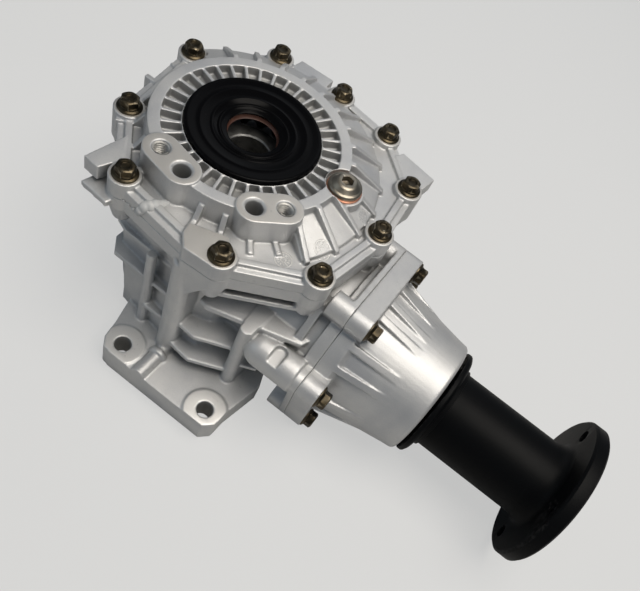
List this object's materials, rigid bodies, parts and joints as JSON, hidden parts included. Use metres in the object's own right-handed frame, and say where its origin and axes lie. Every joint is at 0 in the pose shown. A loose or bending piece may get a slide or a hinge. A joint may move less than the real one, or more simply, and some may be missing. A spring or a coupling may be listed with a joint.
{
  "type": "transfer case",
  "caption": "Right-angle transfer case: hollow vertical input shaft with ring gear drives an offset pinion and long companion flange, in a ribbed cast housing with bolted cover.",
  "frame": {"origin": "on the input shaft axis, at the gearbox mating face", "axes": "+Z along the input axis from the mating face to the end cover, +X along the output axis to the companion flange, -Y to the mounting foot"},
  "size_m": [0.4313, 0.2447, 0.1765],
  "materials": {
    "cast_alloy": "silver paint over a die-cast surface",
    "black_paint": "gloss black",
    "black_satin": "satin black",
    "bolt_steel": "dark olive zinc",
    "plug_steel": "bronze-grey plated",
    "copper": "bare copper",
    "seal_rubber": "brown rubber",
    "bearing_steel": "ground steel",
    "gear_steel": "machined steel"
  },
  "bodies": {
    "case": {"bearing_preload_shim": "bearing_steel", "cover_bolts": "bolt_steel", "drain_plug": "plug_steel", "drain_plug_washer": "copper", "dust_shield": "black_paint", "end_cover": "cast_alloy", "fill_plug": "plug_steel", "fill_plug_washer": "copper", "half_shaft_seal": "seal_rubber", "input_seal": "seal_rubber", "locating_dowels": "bearing_steel", "lower_bearing_cup": "bearing_steel", "main_housing": "cast_alloy", "pinion_depth_shim": "bearing_steel", "pinion_head_bearing_cup": "bearing_steel", "pinion_housing": "cast_alloy", "pinion_housing_bolts": "bolt_steel", "pinion_housing_o_ring": "seal_rubber", "pinion_seal": "seal_rubber", "pinion_tail_bearing_cup": "bearing_steel", "upper_bearing_cup": "bearing_steel"},
    "input_rotor": {"input_shaft": "gear_steel", "ring_gear": "gear_steel", "ring_gear_bolts": "bolt_steel", "lower_bearing_cone": "bearing_steel", "lower_bearing_rollers": "bearing_steel", "upper_bearing_cone": "bearing_steel", "upper_bearing_rollers": "bearing_steel"},
    "output_rotor": {"drive_pinion": "gear_steel", "crush_spacer": "bearing_steel", "companion_flange": "black_satin", "flange_dust_ring": "black_satin", "pinion_nut": "bolt_steel", "pinion_head_bearing_cone": "bearing_steel", "pinion_head_bearing_rollers": "bearing_steel", "pinion_tail_bearing_cone": "bearing_steel", "pinion_tail_bearing_rollers": "bearing_steel"}
  },
  "joints": [
    {"name": "input_shaft_spin", "type": "hinge", "parent": "case", "child": "input_rotor", "pos_m": [0, 0, 0], "axis": [0, 0, 1], "continuous": true},
    {"name": "output_spin", "type": "hinge", "parent": "case", "child": "output_rotor", "pos_m": [0, -0.014, 0.066], "axis": [1, 0, 0], "continuous": true}
  ],
  "couplings": [
    {"joint": "output_spin", "follows": "input_shaft_spin", "ratio": -2.6}
  ]
}
